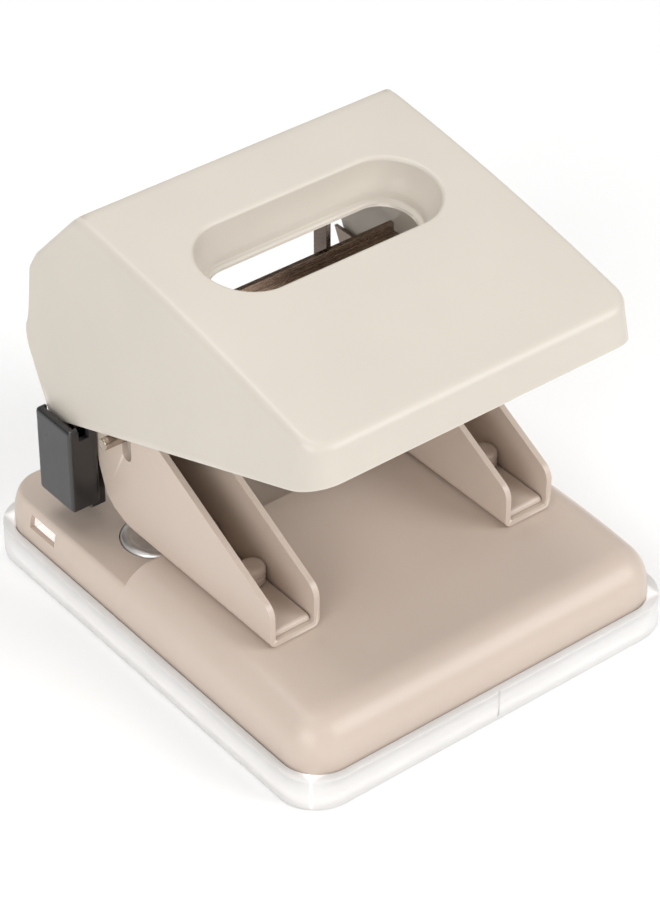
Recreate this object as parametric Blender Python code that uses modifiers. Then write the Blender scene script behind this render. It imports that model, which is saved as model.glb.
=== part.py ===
"""Two-hole desk punch with a sheet-metal lever, built as separate pieces.

Frame: +X along the lever's hinge, +Y from the lever's free front edge back to the paper throat, +Z up.
The origin is the middle of the underside of the chip tray. Lengths are in metres, written as MM multiples.
"""

import math

import bmesh
import bpy
from mathutils import Matrix, Vector

MM = 0.001
GAP = 0.3 * MM  # kept between pieces that touch

# Punching pattern
HOLE_SPACING = 80 * MM
PUNCH_X = HOLE_SPACING / 2
PUNCH_Y = 24.4 * MM
PUNCH_R = 2.9 * MM
PUNCH_TOP_Z = 63 * MM
PUNCH_TIP_Z = 26.2 * MM
TRAVEL = 6.8 * MM
PIN_R = 1.75 * MM
PIN_Z = 58.9 * MM
PIN_OUTER_X = 55.7 * MM
PIN_INNER_X = 28.5 * MM

# Chip tray
TRAY_HALF_X = 63.5 * MM
TRAY_HALF_Y = 73 * MM
TRAY_R = 12 * MM
TRAY_FLOOR = 1.6 * MM
TRAY_TOP_Z = 9.6 * MM
TRAY_LEDGE_Z = 6 * MM
TRAY_LEDGE_HALF = (58.6 * MM, 68.1 * MM)

# Base plate
SHEET = 1.5 * MM
BASE_HALF_X = 60.8 * MM
BASE_HALF_Y = 70.3 * MM
BASE_R = 11 * MM
BASE_FOOT_Z = TRAY_LEDGE_Z + GAP
SHOULDER_FOOT_Z = 11.5 * MM
PLATEAU_Z = 25.5 * MM
DECK_Z = 20.5 * MM
FRONT_DROP = 3 * MM
FRONT_SLOPE_Y = -38 * MM
STEP_Y = 11.5 * MM
STEP_RUN = 0.8 * MM
SHOULDER_POWER = 2.4
SHOULDER_BLEND = 1.2 * MM
GAUGE_SLOT_Y = (43.5 * MM, 55 * MM)
GAUGE_SLOT_Z = (14.4 * MM, 18.6 * MM)
DIE_R = 9.6 * MM
DIE_RISE = 0.9 * MM

# Punch channels
CHANNEL_HALF = 8.1 * MM
CHANNEL_SHEET = 1.8 * MM
CHANNEL_Z = PLATEAU_Z + GAP
CHANNEL_FRONT_Y = -37.5 * MM
NOSE_Z = 38 * MM
WALL_TOP_Z = 64 * MM
RIVET_SHIFT_X = 2.5 * MM  # to the right in both channels, which are the same stamping here
RIVET_YS = {"front": -16 * MM, "rear": 4.5 * MM}
RIVET_R = 3.65 * MM
PLATE_T = 1.6 * MM
REAR_TRIM = [  # cut off the rear of each channel's outer wall, as (y, z)
    (80 * MM, 20 * MM),
    (80 * MM, 80 * MM),
    (40.1 * MM, 80 * MM),
    (40.1 * MM, 50.5 * MM),
    (37.6 * MM, 40.3 * MM),
    (34.9 * MM, 32.6 * MM),
    (31 * MM, 29.6 * MM),
    (26 * MM, 27.6 * MM),
    (20 * MM, 25.5 * MM),
    (20 * MM, 20 * MM),
]

# Lever
HINGE_Y = 46.5 * MM
HINGE_Z = 46.5 * MM
ROD_R = 3 * MM
LEVER_HALF_X = 52.3 * MM
LEVER_FLARE = 1.5 * MM
LEVER_FRONT_Y = -61.2 * MM
LEVER_REAR_Y = 62.7 * MM
LEVER_FRONT_R = 7.5 * MM
LEVER_REAR_R = 3 * MM
LEVER_ROLL = 2.5 * MM
TOP_REAR = (37.6 * MM, 121.8 * MM)
TOP_SLOPE = 0.102
TOP_CURVE = 0.74  # per metre
CHAMFER_END = (59.5 * MM, 98.5 * MM)
REAR_END_Z = 78.3 * MM
EDGE_REAR = (51.6 * MM, 51 * MM)  # the rear end of the straight lower edge
EDGE_SLOPE = 0.378
WINDOW_Y = 2.7 * MM
WINDOW_HALF_RUN = 23 * MM
WINDOW_R = 13.7 * MM
WINDOW_DEPTH = 12 * MM

COLOURS = {
    "paint": ((0.79, 0.72, 0.64), 0.38, 0.0),
    "base_paint": ((0.66, 0.57, 0.49), 0.3, 0.0),
    "steel": ((0.62, 0.61, 0.6), 0.28, 1.0),
    "dark_steel": ((0.12, 0.1, 0.09), 0.4, 1.0),
    "spring_steel": ((0.55, 0.48, 0.34), 0.3, 1.0),
    "black_plastic": ((0.02, 0.02, 0.022), 0.45, 0.0),
    "frosted_plastic": ((0.86, 0.86, 0.84), 0.35, 0.0),
}
LEFT, RIGHT = -1, 1
SIDES = {"left": LEFT, "right": RIGHT}


def clear_scene():
    for obj in list(bpy.data.objects):
        bpy.data.objects.remove(obj)


def new_collection(name):
    collection = bpy.data.collections.new(name)
    bpy.context.scene.collection.children.link(collection)
    return collection


def make_materials():
    made = {}
    for name, (colour, roughness, metallic) in COLOURS.items():
        material = bpy.data.materials.new(name)
        material.use_nodes = True
        shader = material.node_tree.nodes["Principled BSDF"]
        shader.inputs["Base Color"].default_value = (*colour, 1)
        shader.inputs["Roughness"].default_value = roughness
        shader.inputs["Metallic"].default_value = metallic
        made[name] = material
    return made


def object_of(mesh, name, material, origin=(0, 0, 0)):
    """A part, from a mesh in world coordinates, with its origin moved to the given point."""
    mesh.name = name
    mesh.transform(Matrix.Translation(-Vector(origin)))
    mesh.shade_smooth()
    mesh.set_sharp_from_angle(angle=math.radians(35))
    obj = bpy.data.objects.new(name, mesh)
    obj.location = origin
    obj.data.materials.append(MATERIALS[material])
    PARTS.objects.link(obj)
    return obj


def cutter_of(mesh, name):
    obj = bpy.data.objects.new(name, mesh)
    obj.hide_render = True
    obj.display_type = "WIRE"
    CUTTERS.objects.link(obj)
    return obj


def combine(obj, other, operation="DIFFERENCE"):
    modifier = obj.modifiers.new(operation.title(), "BOOLEAN")
    modifier.operation = operation
    modifier.solver = "EXACT"
    modifier.object = other
    return modifier


def bevel(obj, width, segments=3, angle=40):
    modifier = obj.modifiers.new("Rounded edges", "BEVEL")
    modifier.width = width
    modifier.segments = segments
    modifier.limit_method = "ANGLE"
    modifier.angle_limit = math.radians(angle)
    return modifier


def mesh_from(bm, name):
    bm.normal_update()
    bmesh.ops.recalc_face_normals(bm, faces=bm.faces)
    mesh = bpy.data.meshes.new(name)
    bm.to_mesh(mesh)
    bm.free()
    return mesh


def box_mesh(low, high, corner_r=0.0, segments=8):
    """A box between two corners, its vertical edges rounded to corner_r."""
    bm = bmesh.new()
    bmesh.ops.create_cube(bm, size=1)
    size = Vector(high) - Vector(low)
    middle = (Vector(high) + Vector(low)) / 2
    bmesh.ops.scale(bm, vec=size, verts=bm.verts)
    bmesh.ops.translate(bm, vec=middle, verts=bm.verts)
    if corner_r:
        upright = [e for e in bm.edges if abs(e.verts[0].co.z - e.verts[1].co.z) > size.z / 2]
        bmesh.ops.bevel(bm, geom=upright, offset=corner_r, segments=segments, profile=0.5, affect="EDGES")
    return mesh_from(bm, "box")


def cylinder_mesh(radius, start, end, steps=32, chamfer=0.0):
    """A round bar from start to end."""
    bm = bmesh.new()
    start, end = Vector(start), Vector(end)
    length = (end - start).length
    bmesh.ops.create_cone(
        bm, cap_ends=True, segments=steps, radius1=radius, radius2=radius, depth=length
    )
    if chamfer:
        rims = [e for e in bm.edges if abs(e.verts[0].co.z - e.verts[1].co.z) < length / 2]
        bmesh.ops.bevel(bm, geom=rims, offset=chamfer, segments=2, profile=0.5, affect="EDGES")
    turn = (end - start).to_track_quat("Z", "Y").to_matrix().to_4x4()
    bm.transform(Matrix.Translation((start + end) / 2) @ turn)
    return mesh_from(bm, "cylinder")


def turned(name, profile, centre, material, steps=32):
    """A turned piece. The profile is (radius, z) pairs that run down its outer side from the axis."""
    mesh = bpy.data.meshes.new(name)
    points = [(r, 0, z) for r, z in profile]
    count = len(points)
    closed = profile[0][0] > 0
    edges = [(i, (i + 1) % count) for i in range(count if closed else count - 1)]
    mesh.from_pydata(points, edges, [])
    obj = object_of(mesh, name, material)
    obj.location = (centre[0], centre[1], 0)
    screw = obj.modifiers.new("Turned", "SCREW")
    screw.axis = "Z"
    screw.angle = math.tau
    screw.steps = steps
    screw.render_steps = steps
    screw.use_merge_vertices = True
    screw.merge_threshold = 0.00001
    return obj


def outline_mesh(points, low, high, axis="X"):
    """A flat outline of (a, b) points, extruded between two places along the axis."""
    curve = bpy.data.curves.new("outline", "CURVE")
    curve.dimensions = "2D"
    curve.fill_mode = "BOTH"
    curve.extrude = (high - low) / 2
    spline = curve.splines.new("POLY")
    spline.points.add(len(points) - 1)
    for point, (a, b) in zip(spline.points, points):
        point.co = (a, b, 0, 1)
    spline.use_cyclic_u = True
    holder = bpy.data.objects.new("outline", curve)
    bpy.context.scene.collection.objects.link(holder)
    bpy.context.view_layer.update()
    graph = bpy.context.evaluated_depsgraph_get()
    mesh = bpy.data.meshes.new_from_object(holder.evaluated_get(graph))
    bpy.data.objects.remove(holder)
    bm = bmesh.new()
    bm.from_mesh(mesh)
    bpy.data.meshes.remove(mesh)
    bmesh.ops.remove_doubles(bm, verts=bm.verts, dist=0.000001)
    middle = (low + high) / 2
    if axis == "X":  # the outline lies in the Y-Z plane
        place = Matrix(((0, 0, 1, middle), (1, 0, 0, 0), (0, 1, 0, 0), (0, 0, 0, 1)))
    else:  # the outline lies in the X-Y plane
        place = Matrix.Translation((0, 0, middle))
    bm.transform(place)
    return mesh_from(bm, "outline")


def arc(centre, radius, start, end, steps):
    """Points on an arc, from one angle in degrees to another."""
    angles = [math.radians(start + (end - start) * i / steps) for i in range(steps + 1)]
    return [(centre[0] + radius * math.cos(a), centre[1] + radius * math.sin(a)) for a in angles]


def stadium(half_run, radius, steps=12):
    """A slot outline along the first axis, centred on the origin."""
    return arc((half_run, 0), radius, -90, 90, steps) + arc((-half_run, 0), radius, 90, 270, steps)


def pressed_sheet(
    half_x, front_y, rear_y, front_r, rear_r, rings, height, columns, rows, fan=6
):
    """An open pressed sheet over a rectangle with rounded corners.

    Each ring is (inset, level): how far inside the outline it runs, negative where the skirt flares out,
    and a level that height(x, y, inset, level) turns into z. Rows are the y values of the flat middle.
    """
    bm = bmesh.new()
    inner_front, inner_rear = front_y + front_r, rear_y - rear_r

    def corner_r(y):
        share = min(max((y - inner_front) / (inner_rear - inner_front), 0), 1)
        return front_r + (rear_r - front_r) * share

    def point(x, y, out_x, out_y, inset, level):
        reach = corner_r(y) - inset
        px, py = x + out_x * reach, y + out_y * reach
        return bm.verts.new((px, py, height(px, py, inset, level)))

    def inner_x(y):
        return half_x - corner_r(y)

    middle = []
    for y in rows:
        line = []
        for i in range(columns + 1):
            x = inner_x(y) * (2 * i / columns - 1)
            line.append(bm.verts.new((x, y, height(x, y, 1, 0))))
        middle.append(line)
    for low, high in zip(middle, middle[1:]):
        for i in range(columns):
            bm.faces.new((low[i], low[i + 1], high[i + 1], high[i]))

    # The way round the middle: each stop is its own vertex and the direction the sheet runs out from it
    stops = []
    for i in range(columns):
        stops.append((middle[0][i], 0, -1))
    for i in range(fan + 1):
        a = math.radians(-90 + 90 * i / fan)
        stops.append((middle[0][-1], math.cos(a), math.sin(a)))
    for line in middle[1:-1]:
        stops.append((line[-1], 1, 0))
    for i in range(fan + 1):
        a = math.radians(90 * i / fan)
        stops.append((middle[-1][-1], math.cos(a), math.sin(a)))
    for i in range(columns - 1, 0, -1):
        stops.append((middle[-1][i], 0, 1))
    for i in range(fan + 1):
        a = math.radians(90 + 90 * i / fan)
        stops.append((middle[-1][0], math.cos(a), math.sin(a)))
    for line in middle[-2:0:-1]:
        stops.append((line[0], -1, 0))
    for i in range(fan):
        a = math.radians(180 + 90 * i / fan)
        stops.append((middle[0][0], math.cos(a), math.sin(a)))
    previous = [stop[0] for stop in stops]
    for inset, level in rings:
        ring = [point(v.co.x, v.co.y, ox, oy, inset, level) for v, ox, oy in stops]
        for i in range(len(ring)):
            j = (i + 1) % len(ring)
            if previous[i] is previous[j]:
                bm.faces.new((previous[i], ring[i], ring[j]))
            else:
                bm.faces.new((previous[i], ring[i], ring[j], previous[j]))
        previous = ring
    mesh = mesh_from(bm, "sheet")
    if mesh.polygons[0].normal.z < 0:
        mesh.flip_normals()
    return mesh


def solidify(obj, thickness):
    modifier = obj.modifiers.new("Sheet thickness", "SOLIDIFY")
    modifier.thickness = thickness
    modifier.offset = -1
    modifier.use_even_offset = True
    return modifier


# Chip tray


def make_chip_tray():
    tray = object_of(
        box_mesh((-TRAY_HALF_X, -TRAY_HALF_Y, 0), (TRAY_HALF_X, TRAY_HALF_Y, TRAY_TOP_Z), TRAY_R),
        "chip_tray",
        "frosted_plastic",
    )
    ledge_x, ledge_y = TRAY_LEDGE_HALF
    hollow = box_mesh((-ledge_x, -ledge_y, TRAY_FLOOR), (ledge_x, ledge_y, 30 * MM), BASE_R - 2 * MM)
    combine(tray, cutter_of(hollow, "tray_hollow"))
    seat_x, seat_y = BASE_HALF_X + GAP, BASE_HALF_Y + GAP
    seat = box_mesh((-seat_x, -seat_y, TRAY_LEDGE_Z), (seat_x, seat_y, 31 * MM), BASE_R + GAP)
    combine(tray, cutter_of(seat, "tray_seat"))
    groove_half = 0.5 * MM
    groove = box_mesh(
        (-groove_half, -TRAY_HALF_Y - 1 * MM, 1 * MM), (groove_half, -TRAY_HALF_Y + 0.7 * MM, 20 * MM)
    )
    combine(tray, cutter_of(groove, "tray_front_seam"))


# Base plate


def top_of_base(y):
    """Height of the base's top face: a front plateau that eases down to the front edge, and the rear deck."""
    if y < FRONT_SLOPE_Y:
        share = (FRONT_SLOPE_Y - y) / (FRONT_SLOPE_Y + BASE_HALF_Y)
        return PLATEAU_Z - FRONT_DROP * share**1.5
    if y <= STEP_Y:
        return PLATEAU_Z
    return max(DECK_Z, PLATEAU_Z - (PLATEAU_Z - DECK_Z) * (y - STEP_Y) / STEP_RUN)


def soften(value, limit, radius):
    """A smooth version of min(value, limit)."""
    gap = value - limit
    if gap <= -radius:
        return value
    if gap >= radius:
        return limit
    return value - (gap + radius) ** 2 / (4 * radius)


def base_height(x, y, inset, level):
    if level == 1:
        return BASE_FOOT_Z
    depth = min(max(inset, 0) / BASE_R, 1) if inset < 1 else 1
    rise = (1 - (1 - depth) ** SHOULDER_POWER) ** (1 / SHOULDER_POWER)
    if y <= STEP_Y:
        return SHOULDER_FOOT_Z + (top_of_base(y) - SHOULDER_FOOT_Z) * rise
    shoulder = SHOULDER_FOOT_Z + (PLATEAU_Z - SHOULDER_FOOT_Z) * rise
    return soften(shoulder, top_of_base(y), SHOULDER_BLEND)


def make_base_plate():
    front_rows = [(-59.3 + i * 4.26) * MM for i in range(6)]
    rows = front_rows + [-20 * MM, 0, STEP_Y, STEP_Y + STEP_RUN, 30 * MM, 59.3 * MM]
    insets = [BASE_R * (1 - math.sin(math.radians(15 * i))) for i in range(1, 6)]
    rings = [(inset, 0) for inset in insets] + [(0, 0), (0, 1)]
    mesh = pressed_sheet(
        BASE_HALF_X, -BASE_HALF_Y, BASE_HALF_Y, BASE_R, BASE_R, rings, base_height, 6, rows
    )
    base = object_of(mesh, "base_plate", "base_paint")
    solidify(base, SHEET)
    slot = box_mesh(
        (-70 * MM, GAUGE_SLOT_Y[0], GAUGE_SLOT_Z[0]), (-50 * MM, GAUGE_SLOT_Y[1], GAUGE_SLOT_Z[1])
    )
    combine(base, cutter_of(slot, "gauge_slot"))
    for side, sign in SIDES.items():
        x = sign * PUNCH_X
        hole = cylinder_mesh(DIE_R + GAP, (x, PUNCH_Y, 10 * MM), (x, PUNCH_Y, 40 * MM))
        combine(base, cutter_of(hole, f"die_hole_{side}"))
        for place, y in RIVET_YS.items():
            combine(base, rivet_hole(side, sign, place, y))


def rivet_hole(side, sign, place, y):
    name = f"rivet_hole_{place}_{side}"
    if name in CUTTERS.objects:
        return CUTTERS.objects[name]
    x = sign * PUNCH_X + RIVET_SHIFT_X
    return cutter_of(cylinder_mesh(2.6 * MM, (x, y, 15 * MM), (x, y, 45 * MM), 20), name)


def make_dies():
    """Die buttons with a rounded rim, set in the rear deck under the punches."""
    hole_r = PUNCH_R + 0.25 * MM
    flange_r = DIE_R + 1.8 * MM
    top_z = DECK_Z + 0.2 * MM
    rim_z = DECK_Z + DIE_RISE
    under_z = DECK_Z - SHEET - GAP
    profile = [
        (hole_r, top_z),
        (DIE_R - 3.4 * MM, top_z),
        (DIE_R - 2.6 * MM, rim_z - 0.2 * MM),
        (DIE_R - 1.8 * MM, rim_z),
        (DIE_R - 0.8 * MM, rim_z - 0.2 * MM),
        (DIE_R, rim_z - 0.9 * MM),
        (DIE_R, under_z),
        (flange_r, under_z),
        (flange_r, under_z - 1.6 * MM),
        (hole_r + 0.6 * MM, under_z - 1.6 * MM),
    ]
    for side, sign in SIDES.items():
        turned(f"die_{side}", profile, (sign * PUNCH_X, PUNCH_Y), "steel")


# Punch channels and what they hold


def channel_outline():
    """The side of a channel wall in the Y-Z plane, with the ear that carries the hinge rod."""
    nose_r = 5 * MM
    nose = arc((CHANNEL_FRONT_Y + nose_r, NOSE_Z - nose_r * 0.6), nose_r, 180, 118, 4)
    return [
        (CHANNEL_FRONT_Y, CHANNEL_Z),
        *nose,
        (12.5 * MM, WALL_TOP_Z),
        (34 * MM, WALL_TOP_Z),
        (53 * MM, 54 * MM),
        (53 * MM, 41 * MM),
        (43 * MM, 39.5 * MM),
        (38 * MM, 29.5 * MM),
        (36 * MM, CHANNEL_Z),
    ]


def make_channel(side, sign):
    middle = sign * PUNCH_X
    bm = bmesh.new()
    bm.from_mesh(outline_mesh(channel_outline(), middle - CHANNEL_HALF, middle + CHANNEL_HALF))
    long_edges = [
        e
        for e in bm.edges
        if all(abs(v.co.z - CHANNEL_Z) < 1e-6 for v in e.verts)
        and abs(e.verts[0].co.y - e.verts[1].co.y) > 30 * MM
    ]
    bmesh.ops.bevel(bm, geom=long_edges, offset=2.4 * MM, segments=4, profile=0.5, affect="EDGES")
    channel = object_of(mesh_from(bm, "channel"), f"channel_{side}", "base_paint")
    inner_half = CHANNEL_HALF - CHANNEL_SHEET
    floor_z = CHANNEL_Z + CHANNEL_SHEET
    inside = box_mesh((middle - inner_half, -60 * MM, floor_z), (middle + inner_half, 70 * MM, 80 * MM))
    combine(channel, cutter_of(inside, f"channel_inside_{side}"))
    outer_low = sign * (PUNCH_X + inner_half - 1 * MM)
    outer_high = sign * (PUNCH_X + CHANNEL_HALF + 1 * MM)
    trim = outline_mesh(REAR_TRIM, min(outer_low, outer_high), max(outer_low, outer_high))
    combine(channel, cutter_of(trim, f"channel_rear_trim_{side}"))
    slot_half = PIN_R + GAP
    slot_run = (TRAVEL + GAP) / 2
    slot = [(PUNCH_Y + b, PIN_Z - slot_run + GAP + a) for a, b in stadium(slot_run, slot_half, 8)]
    cut = outline_mesh(slot[::-1], middle - 20 * MM, middle + 20 * MM)
    combine(channel, cutter_of(cut, f"pin_slot_{side}"))
    bore = cylinder_mesh(PUNCH_R + GAP, (middle, PUNCH_Y, 20 * MM), (middle, PUNCH_Y, 32 * MM))
    combine(channel, cutter_of(bore, f"punch_bore_{side}"))
    rod_ends = ((middle - 20 * MM, HINGE_Y, HINGE_Z), (middle + 20 * MM, HINGE_Y, HINGE_Z))
    rod = cylinder_mesh(ROD_R + GAP, *rod_ends)
    combine(channel, cutter_of(rod, f"rod_bore_{side}"))
    for place, y in RIVET_YS.items():
        combine(channel, rivet_hole(side, sign, place, y))


def make_channel_plate(side, sign):
    """The stiffening plate that lies on the channel's floor, under the rivet heads."""
    middle = sign * PUNCH_X
    half = CHANNEL_HALF - CHANNEL_SHEET - 0.5 * MM
    low_z = CHANNEL_Z + CHANNEL_SHEET + GAP
    front_y = CHANNEL_FRONT_Y + 1.2 * MM
    nose_r = PLATE_T - 0.3 * MM
    side_line = [
        (14 * MM, low_z),
        (14 * MM, low_z + PLATE_T),
        *arc((front_y + nose_r, low_z + PLATE_T - nose_r), nose_r, 90, 180, 4),
        (front_y, low_z),
    ]
    plate = object_of(
        outline_mesh(side_line, middle - half, middle + half), f"channel_plate_{side}", "base_paint"
    )
    for place, y in RIVET_YS.items():
        combine(plate, rivet_hole(side, sign, place, y))


def make_rivets():
    seat_z = CHANNEL_Z + CHANNEL_SHEET + GAP + PLATE_T + GAP
    under_z = PLATEAU_Z - SHEET - GAP
    top_z = seat_z + 5.4 * MM
    profile = [
        (0, top_z),
        (RIVET_R - 1.2 * MM, top_z),
        (RIVET_R - 0.4 * MM, top_z - 0.35 * MM),
        (RIVET_R, top_z - 1.1 * MM),
        (RIVET_R, top_z - 2.4 * MM),
        (RIVET_R - 0.35 * MM, top_z - 2.9 * MM),
        (RIVET_R - 0.1 * MM, seat_z + 0.6 * MM),
        (RIVET_R - 0.1 * MM, seat_z),
        (2.3 * MM, seat_z),
        (2.3 * MM, under_z),
        (3.6 * MM, under_z),
        (3.4 * MM, under_z - 1.2 * MM),
        (0, under_z - 1.4 * MM),
    ]
    for side, sign in SIDES.items():
        for place, y in RIVET_YS.items():
            x = sign * PUNCH_X + RIVET_SHIFT_X
            turned(f"rivet_{place}_{side}", profile, (x, y), "base_paint", 24)


def make_punch(side, sign):
    """A hardened punch with a cross hole for its pin and a V ground across its cutting end."""
    middle = sign * PUNCH_X
    mesh = cylinder_mesh(PUNCH_R, (middle, PUNCH_Y, PUNCH_TIP_Z), (middle, PUNCH_Y, PUNCH_TOP_Z), 32)
    punch = object_of(mesh, f"punch_{side}", "steel", (middle, PUNCH_Y, PUNCH_TIP_Z))
    hole_ends = ((middle - 10 * MM, PUNCH_Y, PIN_Z), (middle + 10 * MM, PUNCH_Y, PIN_Z))
    hole = cylinder_mesh(PIN_R + GAP, *hole_ends, 24)
    combine(punch, cutter_of(hole, f"pin_hole_{side}"))
    notch = [
        (PUNCH_Y - 4 * MM, PUNCH_TIP_Z - 1 * MM),
        (PUNCH_Y + 4 * MM, PUNCH_TIP_Z - 1 * MM),
        (PUNCH_Y, PUNCH_TIP_Z + 1.6 * MM),
    ]
    vee = outline_mesh(notch, middle - 10 * MM, middle + 10 * MM)
    combine(punch, cutter_of(vee, f"cutting_vee_{side}"))


def make_cross_pin(side, sign):
    ends = (sign * PIN_OUTER_X, sign * PIN_INNER_X)
    mesh = cylinder_mesh(PIN_R, (ends[0], PUNCH_Y, PIN_Z), (ends[1], PUNCH_Y, PIN_Z), 24, 0.35 * MM)
    object_of(mesh, f"cross_pin_{side}", "steel", (sign * PUNCH_X, PUNCH_Y, PIN_Z))


def make_spring_seat(side, sign):
    top_z = PIN_Z - PIN_R - GAP
    profile = [
        (PUNCH_R + GAP, top_z),
        (5.9 * MM, top_z),
        (5.9 * MM, top_z - 1.1 * MM),
        (PUNCH_R + GAP, top_z - 1.1 * MM),
    ]
    turned(f"spring_seat_{side}", profile, (sign * PUNCH_X, PUNCH_Y), "steel", 24)


def make_return_spring(side, sign):
    """A compression spring round the punch, from the channel floor to the spring seat."""
    wire_r = 0.6 * MM
    coil_r = 5.1 * MM
    low_z = CHANNEL_Z + CHANNEL_SHEET + GAP + wire_r
    high_z = PIN_Z - PIN_R - GAP - 1.1 * MM - GAP - wire_r
    turns, per_turn = 7, 12
    curve = bpy.data.curves.new(f"return_spring_{side}", "CURVE")
    curve.dimensions = "3D"
    curve.bevel_depth = wire_r
    curve.bevel_resolution = 2
    curve.use_fill_caps = True
    spline = curve.splines.new("POLY")
    count = turns * per_turn + 1
    spline.points.add(count - 1)
    for i, point in enumerate(spline.points):
        share = i / (count - 1)
        angle = math.tau * turns * share
        point.co = (coil_r * math.cos(angle), coil_r * math.sin(angle), low_z + (high_z - low_z) * share, 1)
    curve.materials.append(MATERIALS["spring_steel"])
    spring = bpy.data.objects.new(f"return_spring_{side}", curve)
    spring.location = (sign * PUNCH_X, PUNCH_Y, 0)
    PARTS.objects.link(spring)


# Hinge


def make_hinge_cover(side, sign):
    """A black cup behind each channel that hides the rod's end and the foot of the lever."""
    outer_x, inner_x, wing_x = 57.6 * MM, 48.5 * MM, 44.6 * MM
    front_y, wing_y, rear_y = 37.2 * MM, 40.5 * MM, 53.4 * MM
    wing_z, low_z, wing_top_z, high_z = 24.8 * MM, 28.3 * MM, 50.9 * MM, 55.5 * MM
    wall, outer_wall, floor = 1.5 * MM, 2 * MM, 2 * MM

    def span(a, b):
        return sorted((sign * a, sign * b))

    near, far = span(outer_x, inner_x)
    cover = object_of(
        box_mesh((near, front_y, low_z), (far, rear_y, high_z)), f"hinge_cover_{side}", "black_plastic"
    )
    near, far = span(inner_x + 1.2 * MM, wing_x)
    wing = box_mesh((near, wing_y, wing_z), (far, rear_y - 1.5 * MM, wing_top_z), 0.6 * MM, 3)
    bevel(cover, 1.1 * MM, 3)
    combine(cover, cutter_of(wing, f"cover_wing_{side}"), "UNION")
    near, far = span(outer_x - outer_wall, inner_x + wall)
    hollow = box_mesh((near, front_y + wall, low_z + floor), (far, rear_y - wall, 70 * MM))
    combine(cover, cutter_of(hollow, f"cover_hollow_{side}"))
    near, far = span(54.6 * MM, 51.4 * MM)
    front_gap = box_mesh((near, front_y - 2 * MM, 51.8 * MM), (far, front_y + 3 * MM, 70 * MM))
    combine(cover, cutter_of(front_gap, f"cover_front_gap_{side}"))
    near, far = span(54.6 * MM, wing_x - 1 * MM)
    rear_gap = box_mesh((near, rear_y - 3 * MM, 43.5 * MM), (far, rear_y + 2 * MM, 71 * MM))
    combine(cover, cutter_of(rear_gap, f"cover_rear_gap_{side}"))
    pocket_end = sign * (outer_x - 1.3 * MM)
    pocket_ends = ((pocket_end, HINGE_Y, HINGE_Z), (sign * (wing_x - 2 * MM), HINGE_Y, HINGE_Z))
    pocket = cylinder_mesh(ROD_R + GAP, *pocket_ends, 24)
    combine(cover, cutter_of(pocket, f"cover_pocket_{side}"))


def make_hinge_rod():
    end = 56 * MM
    mesh = cylinder_mesh(ROD_R, (-end, HINGE_Y, HINGE_Z), (end, HINGE_Y, HINGE_Z), 32, 0.5 * MM)
    object_of(mesh, "hinge_rod", "steel", (0, HINGE_Y, HINGE_Z))


def make_rod_clip(side, sign):
    """A retaining ring on the rod, outside the hinge arm."""
    outside, thickness = 52.8 * MM, 0.8 * MM
    ends = ((sign * outside, HINGE_Y, HINGE_Z), (sign * (outside - thickness), HINGE_Y, HINGE_Z))
    clip = object_of(cylinder_mesh(4.9 * MM, *ends, 32), f"rod_clip_{side}", "steel")
    bore_ends = ((sign * 54 * MM, HINGE_Y, HINGE_Z), (sign * 51 * MM, HINGE_Y, HINGE_Z))
    combine(clip, cutter_of(cylinder_mesh(ROD_R + GAP, *bore_ends, 32), f"clip_bore_{side}"))


def make_hinge_arm(side, sign):
    """The dark steel arm inside each lever wall that turns on the rod."""
    lobe_r = 5.5 * MM
    lobe = arc((HINGE_Y, HINGE_Z), lobe_r, -20, -180, 10)
    outline = [(60.2 * MM, 66 * MM), (54.6 * MM, 54 * MM), *lobe, (44.5 * MM, 58 * MM), (43 * MM, 66 * MM)]
    xs = sorted((sign * 51.6 * MM, sign * 50.4 * MM))
    arm = object_of(
        outline_mesh(outline, xs[0], xs[1]), f"hinge_arm_{side}", "dark_steel", (0, HINGE_Y, HINGE_Z)
    )
    ends = ((sign * 60 * MM, HINGE_Y, HINGE_Z), (sign * 45 * MM, HINGE_Y, HINGE_Z))
    combine(arm, cutter_of(cylinder_mesh(ROD_R + GAP, *ends, 32), f"arm_bore_{side}"))


# Lever


def top_of_lever(y):
    """Height of the lever's top face: crowned to the front, and folded down behind."""
    if y <= TOP_REAR[0]:
        run = TOP_REAR[0] - y
        return TOP_REAR[1] - TOP_SLOPE * run - TOP_CURVE * run**2
    if y <= CHAMFER_END[0]:
        share = (y - TOP_REAR[0]) / (CHAMFER_END[0] - TOP_REAR[0])
        return TOP_REAR[1] + (CHAMFER_END[1] - TOP_REAR[1]) * share
    share = (y - CHAMFER_END[0]) / (LEVER_REAR_Y - CHAMFER_END[0])
    return CHAMFER_END[1] + (REAR_END_Z - CHAMFER_END[1]) * share


def lower_edge(y):
    """Height of the lever's lower edge: straight from the front to its rear corner, then up behind."""
    if y <= EDGE_REAR[0]:
        return EDGE_REAR[1] + EDGE_SLOPE * (EDGE_REAR[0] - y)
    share = min((y - EDGE_REAR[0]) / (LEVER_REAR_Y - EDGE_REAR[0]), 1)
    return EDGE_REAR[1] + (REAR_END_Z - 3 * MM - EDGE_REAR[1]) * share


def lever_height(x, y, inset, level):
    """Level 0 is the top face and its rolled edge. Above it, level is the share of the way down the skirt."""
    roll = min(max(LEVER_ROLL - inset, 0), LEVER_ROLL) if inset < 1 else 0
    fall = LEVER_ROLL - math.sqrt(max(LEVER_ROLL**2 - roll**2, 0))
    top = top_of_lever(y) - fall
    if level == 0:
        return top
    return top + (min(lower_edge(y), top - 2 * MM) - top) * level


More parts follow.
